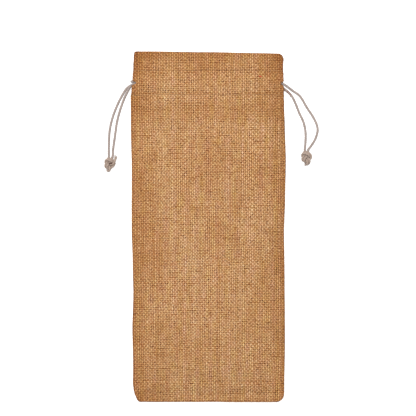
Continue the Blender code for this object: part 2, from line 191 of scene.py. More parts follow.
class Value:
    """A value inside a material. Arithmetic with it, and its other calls, add nodes."""

    __add__ = arithmetic("ADD")
    __sub__ = arithmetic("SUBTRACT")
    __mul__ = arithmetic("MULTIPLY")
    __truediv__ = arithmetic("DIVIDE")
    __pow__ = arithmetic("POWER")

    def __init__(self, shading, socket):
        self.shading = shading
        self.socket = socket

    def math(self, operation, *others):
        return self.shading.node("Math", dict(enumerate((self, *others))), operation=operation)

    def __rsub__(self, other):
        return self.shading.node("Math", {0: other, 1: self}, operation="SUBTRACT")

    def spread(self, low, high):
        """Takes 0..1 to low..high."""
        return self.math("MULTIPLY_ADD", high - low, low)

    def between(self, low, high):
        """0 below low and 1 above high, eased between them."""
        inputs = {"Value": self, "From Min": low, "From Max": high}
        return self.shading.node("MapRange", inputs, "Result", interpolation_type="SMOOTHSTEP")

    def random(self):
        """Another number from 0 to 1 for each number."""
        return self.shading.node("TexWhiteNoise", {"W": self}, "Value", noise_dimensions="1D")

    def noise(self, scale=1.0, detail=2.0, roughness=0.5):
        """Cloudy noise at each place."""
        inputs = {"Vector": self, "Scale": scale, "Detail": detail, "Roughness": roughness}
        return self.shading.node("TexNoise", inputs, "Fac")

    def bump(self, distance, strength=1.0):
        inputs = {"Height": self, "Distance": distance, "Strength": strength}
        return self.shading.node("Bump", inputs)


class Shading:
    """A material, with short calls that add its nodes."""

    def __init__(self, name):
        self.material = bpy.data.materials.new(name)
        self.material.use_nodes = True
        self.tree = self.material.node_tree

    def join(self, inputs, node):
        """Gives a node its inputs, which are named or numbered. Three numbers are a colour."""
        for name, value in inputs.items():
            if isinstance(value, Value):
                self.tree.links.new(value.socket, node.inputs[name])
            elif isinstance(value, tuple):
                node.inputs[name].default_value = (*value, 1.0)
            else:
                node.inputs[name].default_value = value

    def node(self, kind, inputs, output=0, **settings):
        """An output of a new node."""
        node = self.tree.nodes.new("ShaderNode" + kind)
        for name, setting in settings.items():
            setattr(node, name, setting)
        self.join(inputs, node)
        return Value(self, node.outputs[output])

    def surface(self, inputs):
        """Gives the material's surface these inputs, and returns the material."""
        self.join(inputs, self.tree.nodes["Principled BSDF"])
        return self.material

    def combine(self, x, y, z=0.0):
        return self.node("CombineXYZ", {0: x, 1: y, 2: z})

    def uv(self, name):
        """The two values of a UV map."""
        vector = self.node("UVMap", {}, uv_map=name)
        return [self.node("SeparateXYZ", {0: vector}, axis) for axis in range(2)]

    def mix(self, share, a, b, blend="MIX"):
        """The colour a where share is 0, and b where it is 1."""
        return self.node("Mix", {"Factor": share, 6: a, 7: b}, 2, data_type="RGBA", blend_type=blend)

    def choose(self, share, a, b):
        """The number a where share is 0, and b where it is 1."""
        return self.node("Mix", {"Factor": share, 2: a, 3: b})

    def shade(self, base, brightness):
        """The colour times a brightness. Its green and blue fall faster, so it browns as it darkens."""
        falls = self.combine(*(brightness ** power for power in BROWNING))
        return self.node("VectorMath", {0: base, 1: falls}, operation="MULTIPLY")


# Materials

# The warp is painted lighter and the weft darker: painted light and shade for how light falls on yarns
# running either way.
LIT_WARP_COLOUR = (0.745, 0.510, 0.308)
SHADED_WEFT_COLOUR = (0.45, 0.254, 0.120)
RUDDY = (0.52, 0.19, 0.07)
GREYISH = (0.48, 0.34, 0.20)
STRAW = (0.68, 0.46, 0.22)
# The painted shade seen in the gaps of the weave.
GAP_SHADE_COLOUR = (0.10, 0.028, 0.006)
BROWNING = (0.60, 1.02, 1.70)  # how fast red, green and blue fall with the brightness
# The cap on the painted highlight of the weave's relief:
BRIGHTEST = 0.92  # the most that the weave's relief lights up a yarn
# Half widths in pitches, from the thinnest to the thickest yarn, and of the gaps at the corners.
WARP_WIDTHS = (0.36, 0.44)
WEFT_WIDTHS = (0.33, 0.41)
PINHOLE_WIDTHS = (0.15, 0.40)
GAP_DEPTH = -0.75  # the height between yarns, where 0 is the middle of the cloth
# These set apart the random numbers of neighbouring corners, crossings, lines and yarns.
CORNER_STEP = 173.3
CROSSING_STEP = 311.7
LINE_STEP = 5.3
YARN_STEP = 7.31


def pinholes(u, v):
    """1 in the gaps at the yarns' corners, painted as shade; small at most corners and wide at a few."""
    corner_u = u.math("ROUND")
    corner_v = v.math("ROUND")
    parts = []
    for offset, seed in ((u - corner_u, 0.0), (v - corner_v, 0.5)):
        chance = (corner_u + seed + corner_v * CORNER_STEP).random()
        reach = offset / (chance ** 2.0).spread(*PINHOLE_WIDTHS)
        square = reach * reach
        parts.append(square * square)
    return 1.0 - (parts[0] + parts[1]).between(0.5, 1.5)


def gap_line_shade(shading, count, along, seed, least, most):
    """Painted shade on the lines between yarns, which lie close in places and apart in others."""
    line = count.math("ROUND")
    on_line = 1.0 - (count - line).math("ABSOLUTE").between(0.05, 0.34)
    openness = shading.combine(along * 0.35, line * LINE_STEP, seed).noise(1.0, 1.0)
    return 1.0 - on_line * openness.between(0.40, 0.75).spread(least, most)


def yarn(shading, number, across, along, lift, seed, widths):
    """The height of one yarn's surface, its own tone, its fibres and its roundness."""
    own = (number + seed).random()
    slub = shading.combine(along * 0.10, number * YARN_STEP, seed).noise(1.0, 3.0, 0.6)
    reach = across / (own.spread(*widths) + slub.spread(-0.06, 0.10))
    square = 1.0 - reach * reach
    roundness = square.math("MAXIMUM", 0.0).math("SQRT")
    height = lift * 0.5 + roundness * 0.4 + square.math("LESS_THAN", 0.0) * -3.0
    tone = own.spread(-0.11, 0.05) + slub.spread(-0.34, 0.20)
    twisted = shading.combine(across * 9.0 + along * 2.2, along * 0.9, number + seed)
    return height, tone, twisted.noise(1.6, 3.0, 0.65), roundness


def plain_weave(shading, u, v):
    """What yarn gives, for the yarn on top; 1 where that is the warp; and each crossing's number."""
    warp_number = u.math("FLOOR")
    weft_number = v.math("FLOOR")
    across_warp = u.math("FRACT") - 0.5
    across_weft = v.math("FRACT") - 0.5
    warp_over = (warp_number + weft_number).math("FLOORED_MODULO", 2.0).spread(1.0, -1.0)
    warp_lift = warp_over * (across_weft * math.pi).math("COSINE") + 0.15
    weft_lift = warp_over * (across_warp * math.pi).math("COSINE") * -1.0
    warp = yarn(shading, warp_number, across_warp, v, warp_lift, 0.0, WARP_WIDTHS)
    weft = yarn(shading, weft_number, across_weft, u, weft_lift, 500.0, WEFT_WIDTHS)
    warp_shows = warp[0].math("GREATER_THAN", weft[0])
    on_top = [shading.choose(warp_shows, low, high) for low, high in zip(weft, warp)]
    return on_top, warp_shows, warp_number + weft_number * CROSSING_STEP


def yarn_colour(shading, warp_shows, crossing, fibres):
    """The colour of the yarn on top, which differs a little from crossing to crossing."""
    # painted light and shade: the warp on top is lit, the weft on top is shaded
    base = shading.mix(warp_shows, SHADED_WEFT_COLOUR, LIT_WARP_COLOUR)
    base = shading.mix((crossing + 0.37).random() * 0.30, base, RUDDY)
    base = shading.mix((crossing + 0.71).random() ** 3.0 * 0.3, base, GREYISH)
    return shading.mix(fibres.between(0.45, 0.85), base, STRAW)


def relief_shade(shading, u, v, height, fibres, roundness, crossing):
    """Each place's brightness: painted shade at yarn edges, dips and gaps, painted highlight on crowns.
    """
    shade = crossing.random().spread(0.84, 1.10)
    shade = shade * roundness.spread(0.10, 1.05)
    shade = shade * height.between(-0.4, 0.35).spread(0.10, 1.08)
    shade = shade * fibres.spread(0.8, 1.2)
    shade = shade * gap_line_shade(shading, v, u, 0.0, 0.04, 0.85)
    shade = shade * gap_line_shade(shading, u, v, 40.0, 0.0, 0.35)
    return shade.math("MINIMUM", BRIGHTEST)


def jute_weave():
    """A plain weave, drawn from the yarn counts in the UV map: u counts warp yarns and v weft yarns."""
    shading = Shading("jute_weave")
    u, v = shading.uv("weave")
    # The tone map holds the cloth's own tone with painted shade at its edges, creases and needle holes.
    tone, hue = shading.uv("tone")
    (height, own_tone, fibres, roundness), warp_shows, crossing = plain_weave(shading, u, v)
    height = height.math("MAXIMUM", GAP_DEPTH)
    patches = shading.combine(u * 0.05, v * 0.018).noise(1.0, 3.0)
    shade = relief_shade(shading, u, v, height, fibres, roundness, crossing)
    shade = shade * ((own_tone + 1.0 + patches.spread(-0.10, 0.10)) * tone)
    less_red = patches.spread(0.94, 1.06)
    tint = shading.combine(1.0, less_red * hue.spread(0.98, 1.02), less_red * hue.spread(1.06, 0.94))
    base = yarn_colour(shading, warp_shows, crossing, fibres)
    base = shading.mix(1.0, base, tint, "MULTIPLY")
    # The gaps and pinholes are painted dark, as the shade seen through the cloth.
    hole = height.math("LESS_THAN", GAP_DEPTH + 0.05).math("MAXIMUM", pinholes(u, v))
    return shading.surface({
        "Base Color": shading.mix(hole, shading.shade(base, shade), GAP_SHADE_COLOUR),
        "Roughness": fibres.spread(0.95, 0.78),
        "Specular IOR Level": 0.25,
        "Sheen Weight": 0.05,
        "Sheen Roughness": 0.45,
        "Normal": (height + fibres * 0.22).bump(0.45 * MM, 0.8),
    })


def twisted_yarn(name, light, dark, turns=900.0):
    """Fibres wound round a cord or thread. u runs along it in metres and v once round it."""
    shading = Shading(name)
    u, v = shading.uv("along")
    fibres = shading.combine(v * 7.0 + u * turns, u * 260.0).noise(2.2, 3.0, 0.6)
    patches = shading.combine(u * 140.0, v).noise(1.0, 2.0)
    share = fibres * 0.75 + patches.spread(-0.1, 0.35)
    return shading.surface({
        "Base Color": shading.mix(share, dark, light),
        "Roughness": 0.9,
        "Specular IOR Level": 0.2,
        "Sheen Weight": 0.2,
        "Normal": fibres.bump(0.12 * MM),
    })


JUTE = jute_weave()
COTTON = twisted_yarn("cotton", (0.48, 0.405, 0.37), (0.185, 0.14, 0.12))
KNOT_COTTON = twisted_yarn("knotted_cotton", (0.49, 0.39, 0.33), (0.19, 0.125, 0.09))
# A dark brown for the fibres that paint the shade in the left knot's crease.
CREASE_SHADE_BROWN = twisted_yarn("knot_crease_shade_fibre", (0.085, 0.026, 0.016), (0.05, 0.015, 0.010))
RED_BROWN = twisted_yarn("red_brown_fibre", (0.36, 0.16, 0.10), (0.22, 0.09, 0.06))
RED_YARN = twisted_yarn("red_yarn", (0.66, 0.13, 0.05), (0.42, 0.06, 0.03))
THREAD = twisted_yarn("jute_thread", (0.52, 0.28, 0.12), (0.30, 0.145, 0.055), 2500.0)


# The outline of the bag

def edge_x(side, y, front):
    """The distance of a side edge from the bag's middle line."""
    left = side == "left"
    edge = HALF_WIDTH + eased(y, LEFT_EDGE if left else RIGHT_EDGE)
    if front:
        middle, depth, half_length = SLIT_DENTS[side]
        edge = edge - depth * hump(y, middle, half_length)
    return edge


def mouth_y(x):
    across = x / HALF_WIDTH
    return MOUTH_Y - MOUTH_DROP * (across + 1) / 2 - MOUTH_SAG * (1 - across ** 4)


def inside(x, y, front):
    """How far each point lies inside the outline, the outward direction at the nearest edge, and
    whether the point is at a rounded corner."""
    left = x < 0
    to_side = np.where(left, x + edge_x("left", y, front), edge_x("right", y, front) - x)
    at_mouth = y > 0
    to_end = np.where(at_mouth, mouth_y(x) - y, y - BOTTOM_Y)
    radius = np.where(left, CORNER_RADII["left"], CORNER_RADII["right"])
    radius = np.where(at_mouth, CORNER_RADII["mouth"], radius)
    side_sign = np.where(left, -1.0, 1.0)
    end_sign = np.where(at_mouth, 1.0, -1.0)
    past_side = radius - to_side
    past_end = radius - to_end
    corner = (past_side > 0) & (past_end > 0) & (np.abs(x) > FACING_HALF_WIDTH - 8 * MM)
    away = np.maximum(np.hypot(past_side, past_end), 1e-9)
    side_first = to_side < to_end
    distance = np.where(corner, radius - away, np.minimum(to_side, to_end))
    out_x = np.where(corner, side_sign * past_side / away, np.where(side_first, side_sign, 0.0))
    out_y = np.where(corner, end_sign * past_end / away, np.where(side_first, 0.0, end_sign))
    return distance, out_x, out_y, corner


# Heights

def crown(x):
    """1 in the middle of the bag, falling to 0 at its side seams."""
    return 1 - np.minimum(np.abs(x) / HALF_WIDTH, 1.0) ** 4.5


def near_slit(x, y, from_x, to_x):
    """1 beside each slit, falling to 0 inwards and along Y."""
    inwards = np.clip((np.abs(x) - from_x) / (to_x - from_x), 0, 1)
    return inwards * hump(y, SLIT_Y, 8 * MM)


def front_height(x, y):
    seam = eased(y, SEAM_HEIGHT)
    height = seam + (eased(y, MIDDLE_HEIGHT) - seam) * crown(x)
    height = height + SLIT_SWELL * near_slit(x, y, 50 * MM, 62 * MM)
    loose = crown(x) * LOOSENESS
    height = height + loose * ripples(x, y, 34, 110, 3)
    height = height + loose * ripples(x, y, 80, 60, 4)
    furrow = 0.25 * hump(y, LOWER_STITCH_Y, 1.6 * MM) + 0.20 * hump(y, UPPER_STITCH_Y, 1.6 * MM)
    return height - furrow * MM


def front_facing_height(x, y):
    seam = eased(y, SEAM_HEIGHT) - 2 * MOUTH_ROLL
    height = seam + (eased(y, FACING_HEIGHT) - seam) * crown(x)
    return height - SLIT_SINK * near_slit(x, y, 62 * MM, 70 * MM)


def back_height(x, y):
    """The back lies on the floor, and is drawn up off it along its stitch lines."""
    furrow = hump(y, LOWER_STITCH_Y, 2.2 * MM) + hump(y, UPPER_STITCH_Y, 2.2 * MM)
    return BACK_PULL * furrow + 0 * x


def back_facing_height(x, y):
    middle = (LOWER_STITCH_Y + UPPER_STITCH_Y) / 2
    half = (UPPER_STITCH_Y - LOWER_STITCH_Y) / 2
    return 2 * MOUTH_ROLL + 2.4 * MM * hump(y, middle, half) ** 0.5


# Cloth

def yarn_places(low, high, pitch, rng):
    """Where the yarns' boundaries and centres lie, from low to high. Even places are boundaries."""
    count = 2 * round((high - low) / pitch / 2)
    widths = np.exp(rng.normal(0, 0.13, count))
    ends = np.concatenate([[0.0], np.cumsum(widths)])
    ends = low + (high - low) * ends / ends[-1]
    return np.interp(np.arange(2 * count + 1) / 2, np.arange(count + 1), ends)


def fold(x, y, front):
    """Takes points of the flat panel to the folded panel: places, and the outward directions."""
    distance, out_x, out_y, corner = inside(x, y, front)
    at_mouth = (out_y > 0.99) & ~corner
    roll = np.where(at_mouth, MOUTH_ROLL, SIDE_ROLL)
    past = np.maximum(roll - distance, 0.0)
    start_x = x - out_x * past
    start_y = y - out_y * past
    turn = np.minimum(past / roll, math.pi)
    back_in = np.maximum(past - math.pi * roll, 0.0)
    reach = roll * np.sin(turn) - back_in
    folded_x = start_x + out_x * reach
    folded_y = start_y + out_y * reach
    up = 1.0 if front else -1.0
    face = front_height if front else back_height
    facing = front_facing_height if front else back_facing_height
    height = face(start_x, start_y) - up * roll * (1 - np.cos(turn))
    is_facing = at_mouth & (back_in > 0)
    settle = np.clip(back_in / (2 * MM), 0, 1)
    inner = height + (facing(folded_x, folded_y) - height) * settle
    height = np.where(is_facing, inner, height)
    places = np.stack([folded_x, folded_y, height], -1)
    outward = np.stack([out_x * np.sin(turn), out_y * np.sin(turn), up * np.cos(turn)], -1)
    return places, outward


def keep_cloth(x, y, front):
    """Where the flat panel has cloth: not in the notches cut beside the corners and slits."""
    distance, out_x, out_y, corner = inside(x, y, front)
    turned = -distance - SIDE_TAKE_UP
    sideways = np.abs(out_x) > np.abs(out_y)
    in_hem = y > FACING_END_Y - 2 * MM
    clipped = (sideways & in_hem) | corner
    clipped = clipped | (~sideways & (np.abs(x) > FACING_HALF_WIDTH))
    clipped = clipped | (~sideways & (y < 0) & (np.abs(x) > HALF_WIDTH - 13 * MM))
    return np.where(clipped, turned < 1.0 * MM, True)


def painted_edge_shade(x, y):
    """Painted shade, darker towards the cloth's edges, most of all on their creases, and at the sides of
    the heading.
    """
    tone = np.ones_like(x)
    away_from = {
        "left": x + edge_x("left", y, False),
        "right": edge_x("right", y, False) - x,
        "mouth": mouth_y(x) - y,
        "bottom": y - BOTTOM_Y,
    }
    for edge, away in away_from.items():
        depth, reach = PAINTED_EDGE_SHADE[edge]
        away = np.maximum(away, 0)
        tone = tone * (1 - depth * np.exp(-away / reach))
        tone = tone * (1 - PAINTED_CREASE_SHADE[edge] * np.exp(-away / CREASE_REACH))
    in_heading = np.clip((y - 140 * MM) / (22 * MM), 0, 1)
    for side, depth in PAINTED_HEADING_SHADE.items():
        away = np.maximum(HALF_WIDTH - SIGNS[side] * x, 0)
        tone = tone * (1 - depth * in_heading * np.exp(-away / (10 * MM)))
    return tone


def cloth_tone_and_shade(x, y):
    """The cloth's brightness: its own soft streaks along the warp, with painted shade at its edges and in
    its needle holes.
    """
    tone = painted_edge_shade(x, y) * (1 - 0.17 * hump(y, DIP_Y, 17 * MM))
    # painted shade in the needle holes along the stitch lines
    needle_hole_shade = (1 + np.cos(2 * np.pi * x / STITCH)) / 2
    for line in (LOWER_STITCH_Y + 0.9 * MM, UPPER_STITCH_Y):
        tone = tone * (1 - 0.42 * needle_hole_shade * hump(y, line, 1.0 * MM))
    streaks = 0.035 * ripples(x, y, 7, 160, 61, 30)
    fine_streaks = 0.035 * ripples(x, y, 3, 70, 66, 40)
    clouds = 0.045 * ripples(x, y, 30, 50, 62)
    blotches = 0.035 * ripples(x, y, 10, 18, 63, 30)
    return tone * (1 + streaks + fine_streaks + clouds + blotches)


def cloth_hue(x, y):
    """How yellow the cloth is at each place: 0 is pinker, 1 yellower."""
    streaks = ripples(x, y, 4, 90, 64, 30)
    return 0.5 + 0.35 * streaks + 0.35 * ripples(x, y, 7, 8, 65, 30)


def swayed(x, y, half_width, seed):
    """The flat yarns' places, each a little off its straight line. The side edges stay straight."""
    sway_x = SWAY * ripples(x, y, 40, 60, seed + 1, 30)
    sway_y = SWAY * ripples(x, y, 60, 40, seed + 2, 30)
    sway_x += FINE_SWAY * ripples(x, y, 9, 16, seed + 3, 40)
    sway_y += FINE_SWAY * ripples(x, y, 16, 9, seed + 4, 40)
    inner_part = np.clip((half_width - np.abs(x)) / (10 * MM), 0, 1)
    return x + sway_x * inner_part, y + sway_y


def relief_depth(shape, rng):
    """How far each place of the grid lies below the yarns' crowns."""
    on_row_edge = (np.arange(shape[0]) % 2 == 0)[:, None]
    on_column_edge = (np.arange(shape[1]) % 2 == 0)[None, :]
    depth = np.where(on_row_edge & on_column_edge, HOLE_DEPTH, 0.0)
    depth = depth + np.where(on_row_edge ^ on_column_edge, LINE_DEPTH, 0.0)
    return depth + 0.05 * MM * rng.normal(0, 1, shape)


def panel_faces(kept, number, inner_number):
    """The fine outer skin, the coarse inner skin and the cut edges between them."""
    fine_kept = np.repeat(np.repeat(kept, COARSE, 0), COARSE, 1)
    outer = np.stack([number[:-1, :-1], number[:-1, 1:], number[1:, 1:], number[1:, :-1]], -1)
    a = inner_number
    inner = np.stack([a[:-1, :-1], a[1:, :-1], a[1:, 1:], a[:-1, 1:]], -1)
    return [outer[fine_kept], inner[kept], edge_strips(kept, number, inner_number)]


def flat_cloth(seed, rng):
    """The flat panel's size, and its yarns' boundaries and centres as a grid."""
    turned = ALLOWANCE + SIDE_TAKE_UP
    facing = MOUTH_Y - FACING_END_Y + (math.pi - 1) * MOUTH_ROLL
    width = 2 * (HALF_WIDTH + turned)
    length = MOUTH_Y - BOTTOM_Y + turned + facing
    xs = yarn_places(-width / 2, width / 2, WARP_PITCH, rng)
    ys = yarn_places(BOTTOM_Y - turned, BOTTOM_Y - turned + length, WEFT_PITCH, rng)
    return (width, length), swayed(*np.meshgrid(xs, ys), width / 2, seed)


def yarn_values(x, y):
    """Each place's yarn counts, brightness with its painted shade, and hue, for the UV maps."""
    rows, columns = x.shape
    counts = np.meshgrid(np.arange(columns) / 2, np.arange(rows) / 2)
    return np.stack([*counts, cloth_tone_and_shade(x, y), cloth_hue(x, y)], -1)


def woven_panel(name, front, seed):
    """One panel, with its yarns in relief on the outside and a plainer skin on the inside."""
    rng = np.random.default_rng(seed)
    flat, (x, y) = flat_cloth(seed, rng)
    places, outward = fold(x, y, front)
    outer = places - outward * relief_depth(x.shape, rng)[..., None]
    every = slice(None, None, COARSE)
    inner = (places - outward * CLOTH)[every, every]
    number = np.arange(x.size).reshape(x.shape)
    inner_number = x.size + np.arange(inner[..., 0].size).reshape(inner.shape[:2])
    middles = slice(COARSE // 2, None, COARSE)
    kept = keep_cloth(x[middles, middles], y[middles, middles], front)
    groups = panel_faces(kept, number, inner_number)
    if not front:
        groups = [group[:, ::-1] for group in groups]
    values = yarn_values(x, y)
    points = np.concatenate([outer.reshape(-1, 3), inner.reshape(-1, 3)])
    values = np.concatenate([values.reshape(-1, 4), values[every, every].reshape(-1, 4)])
    points, values, groups = drop_unused(points, values, groups)
    panel = add_mesh(name, points, groups, JUTE)
    set_uv(panel, values[:, :2], "weave")
    set_uv(panel, values[:, 2:], "tone")
    panel.data.validate()
    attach(panel, "bag")
    return panel, flat, kept.sum() / kept.size * flat[0] * flat[1]


def edge_strips(kept, number, inner_number):
    """The faces that close the cloth's cut edge, one for each edge of a kept square at a gap."""
    faces = []
    for _ in range(4):
        kept, number, inner_number = (np.rot90(grid) for grid in (kept, number, inner_number))
        kept_above = np.pad(kept, ((1, 0), (0, 0)))[:-1]
        for row, column in zip(*np.nonzero(kept & ~kept_above)):
            line = number[COARSE * row, COARSE * column:COARSE * (column + 1) + 1]
            faces.append([*line[::-1], inner_number[row, column], inner_number[row, column + 1]])
    return np.array(faces)


def drop_unused(points, values, groups):
    used = np.zeros(len(points), bool)
    for group in groups:
        used[group.ravel()] = True
    renumber = np.cumsum(used) - 1
    return points[used], values[used], [renumber[group] for group in groups]


# Cords and threads

HAIR_LAY = 9 * MM  # the length of one turn of a loose fibre


def heading(stops, place):
    """The direction of the smooth curve at a stop, per unit of length."""
    before = stops[max(place - 1, 0)]
    after = stops[min(place + 1, len(stops) - 1)]
    here = stops[place]
    return (after - before) / ((after - here).length + (here - before).length)


def smooth(stops, place, share):
    """A point this share of the way along the smooth curve from one stop to the next."""
    start = stops[place]
    end = stops[place + 1]
    length = (end - start).length
    ease = share * share * (3 - 2 * share)
    leaving = share * (1 - share) ** 2 * length
    arriving = -share * share * (1 - share) * length
    curve = leaving * heading(stops, place) + arriving * heading(stops, place + 1)
    return start.lerp(end, ease) + curve


def route_points(stops, step):
    """Points about a step apart on a smooth curve through the stops, which are in metres."""
    stops = [Vector(stop) for stop in stops]
    points = [stops[0]]
    for place in range(len(stops) - 1):
        length = (stops[place + 1] - stops[place]).length
        count = max(1, round(length / step))
        points += [smooth(stops, place, i / count) for i in range(1, count + 1)]
    return np.array(points)


def path_length(points):
    return float(np.linalg.norm(np.diff(points, axis=0), axis=1).sum())


def distances(points):
    """How far along the path each of its points is."""
    return np.concatenate([[0.0], np.cumsum(np.linalg.norm(np.diff(points, axis=0), axis=1))])


def carried_frames(points):
    """Two directions across the path at each point, turning as little as they can along it."""
    along = np.gradient(points, axis=0)
    along /= np.linalg.norm(along, axis=1)[:, None]
    side = np.cross(along[0], (0.0, 0.0, 1.0))
    if np.linalg.norm(side) < 0.1:
        side = np.cross(along[0], (0.0, 1.0, 0.0))
    sides = []
    for direction in along:
        side = side - direction * np.dot(side, direction)
        side = side / np.linalg.norm(side)
        sides.append(side)
    sides = np.array(sides)
    return sides, np.cross(along, sides)


def rope_rings(points, diameter, lay, around=15, plies=3, thin_start=0.0):
    """Rings of points round a rope of twisted plies, and their UV values. lay is the length of one
    full turn. The rope is a little thinner over the length thin_start."""
    sides, ups = carried_frames(points)
    travelled = distances(points)
    angle = 2 * np.pi * np.arange(around) / around
    turned = angle[None, :] + 2 * np.pi * travelled[:, None] / lay
    within = np.mod(angle[None, :], 2 * np.pi / plies) - np.pi / plies
    hollow = np.abs(np.sin(within)) * plies / 3
    reach = np.reshape(diameter, (-1, 1)) / 2 * (1.04 - 0.30 * hollow ** 2)
    reach = reach * (1 + 0.03 * np.sin(travelled / lay * 5.1)[:, None])
    reach = reach * np.where(travelled < thin_start, 0.8, 1.0)[:, None]
    rings = points[:, None] + sides[:, None] * (reach * np.cos(turned))[..., None]
    rings = rings + ups[:, None] * (reach * np.sin(turned))[..., None]
    values = np.stack(np.broadcast_arrays(travelled[:, None], turned / (2 * np.pi)), -1)
    return rings, values


def hair(points, diameter):
    return rope_rings(points, diameter, HAIR_LAY, around=5, plies=1)


def tube_piece(name, bundles, material, body):
    """One mesh of closed tubes. Each bundle is the rings of a tube and their UV values."""
    points, values, quads = [], [], []
    caps = {}
    first = 0
    for rings, ring_values in bundles:
        count, around = rings.shape[:2]
        number = first + np.arange(count * around).reshape(count, around)
        after = np.roll(number, -1, axis=1)
        quads.append(np.stack([number[:-1], after[:-1], after[1:], number[1:]], -1).reshape(-1, 4))
        caps.setdefault(around, []).append(np.stack([number[0][::-1], number[-1]]))
        points.append(rings.reshape(-1, 3))
        values.append(ring_values.reshape(-1, 2))
        first += count * around
    groups = [np.concatenate(quads), *(np.concatenate(group) for group in caps.values())]
    piece = add_mesh(name, np.concatenate(points), groups, material)
    set_uv(piece, np.concatenate(values), "along")
    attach(piece, body)
    return piece


CORD = 2.3 * MM  # in the channel
FREE_CORD = 2.6 * MM  # outside it, where nothing presses on the plies
SWELL_STEPS = 25  # the cord swells to that over this many steps
CORD_LAY = 5.8 * MM
CORD_STEP = 0.45 * MM
FLOOR_Z = FREE_CORD / 2 + 0.05 * MM
BACK_CHANNEL_Z = 2.55 * MM


def metres(stops):
    return [tuple(value * MM for value in stop) for stop in stops]


def on_floor(*places):
    return [(x, y, FLOOR_Z / MM) for x, y in places]


def far_loop(x, front_y, back_y, reach, top=6.1):
    """Stops round the loop by which a cord passes from the front channel to the back one."""
    high = Vector((x, front_y, top))
    low = Vector((x, back_y, BACK_CHANNEL_Z / MM))
    middle = (high + low) / 2
    outward = Vector((math.copysign(reach, x), 0, 0))
    turns = (math.pi * i / 5 for i in range(6))
    return [tuple(middle + (high - middle) * math.cos(t) + outward * math.sin(t)) for t in turns]


def front_run(*places):
    """Stops in the front channel, halfway between the facing and the panel."""
    stops = []
    for x, y in places:
        low = float(front_facing_height(x * MM, y * MM)) + CLOTH
        high = float(front_height(x * MM, y * MM)) - CLOTH
        stops.append((x, y, (0.55 * low + 0.45 * high) / MM))
    return stops


# Each drawcord, from its knot up the strand that enters the front channel, round the far slit, back
# through the back channel, and down to the knot. In millimetres.
LEFT_IN = (
    (-96.3, 68.9, 2.3), (-95.6, 70.4, 2.1),
    *on_floor((-95.3, 77), (-93.5, 90), (-91.3, 105), (-87.9, 118)),
    (-83.4, 130.0, 1.7), (-79.2, 137.8, 4.2), (-75.6, 142.2, 6.3), (-71.0, 143.7, 7.2),
)
LEFT_CHANNEL = (
    *front_run((-66, 143.5), (-59, 142.9), (-52, 142.3), (-45, 141.8), (-36, 141.4), (0, 140.0),
               (36, 138.6), (45, 138.3), (52, 138.1), (59, 137.9), (65, 137.7)),
    (69.2, 137.6, 7.9), *far_loop(73.0, 137.4, 134.9, 2.2),
    (68, 135.0, 2.55), (0, 138.0, 2.55), (-62, 141.4, 2.55),
)
LEFT_OUT = (
    (-71.5, 142.4, 2.55), (-76.4, 142.0, 2.95), (-81.4, 138.8, 1.7),
    *on_floor((-86.0, 132.0), (-91.6, 120.6), (-96.2, 108.0), (-98.8, 95.5), (-99.5, 82.0)),
    (-99.5, 70.4, 2.1), (-99.5, 68.8, 2.1),
)
RIGHT_IN = (
    (100.4, 75.6, 2.1), (100.6, 77.2, 2.1),
    *on_floor((103.2, 80.6), (108, 88.8), (110, 98), (106.8, 107.6), (99.2, 119.6), (92.2, 131)),
    (84.8, 136.4, 1.9), (79.0, 140.4, 4.4), (75.2, 142.4, 6.4), (71.0, 143.5, 7.4),
)
RIGHT_CHANNEL = (
    *front_run((66, 143.9), (59, 144), (52, 144), (45, 144), (36, 144.1), (0, 145), (-36, 146),
               (-45, 146.4), (-52, 146.7), (-59, 147), (-65, 147.3)),
    (-69.2, 146.4, 8.2), *far_loop(-74.6, 145.3, 145.1, 2.0, 6.8),
    (-69, 145.9, 2.55), (0, 143.4, 2.55), (64, 141.4, 2.55),
)
RIGHT_OUT = (
    (71.5, 140.2, 2.55), (76.2, 137.9, 2.95), (80.8, 134.5, 1.7),
    *on_floor((84.6, 130.2), (88.2, 122.6), (91.6, 114), (95.8, 104.8), (97.8, 95), (97.8, 85)),
    (97.0, 77.2, 2.1), (97.0, 75.6, 2.1),
)


def nearest(points, stop):
    return int(np.argmin(np.linalg.norm(points - np.array(stop), axis=1)))


def drawcord(word, strand_in, channel, strand_out):
    """One cord in three pieces: the two free strands, and the run between them inside the bag."""
    points = route_points(metres((*strand_in, *channel, *strand_out)), CORD_STEP)
    enters = nearest(points, metres([strand_in[-1]])[0])
    leaves = nearest(points, metres([strand_out[0]])[0])
    place = np.arange(len(points))
    free = np.clip(np.maximum(enters - place, place - leaves) / SWELL_STEPS, 0, 1)
    rings, values = rope_rings(points, CORD + (FREE_CORD - CORD) * free, CORD_LAY)
    parts = {
        "_strand_in": slice(0, enters + 1),
        "_cord_in_channel": slice(enters, leaves + 1),
        "_strand_out": slice(leaves, None),
    }
    pieces = [
        tube_piece(word + name, [(rings[part], values[part])], COTTON, word + "_cord")
        for name, part in parts.items()
    ]
    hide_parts(word + "_drawcord")
    return pieces, points[:enters + 1], points[leaves:]


# Knots

KNOT_CORD = 2.4 * MM  # pressed a little thinner than the free cord
KNOT_BEADS = 76  # points along each strand while it is pulled tight
KNOT_LEAD = 3.8 * MM  # the straight cord over the knot, which its own strands take up
STRAND_IN_KNOT = 1.6 * MM  # how far each free strand reaches into its knot
FRAY = 0.26 * MM
FRAY_COUNT = 44
# Each knot's two cut ends, from the middle of its strands' ends, in millimetres.
KNOT_TAILS = {
    "left": ((-2.2, -14.1, 0.0), (6.1, -0.9, 2.2)),
    "right": ((-0.2, -14.6, 0.0), (1.8, -13.8, 0.0)),
}


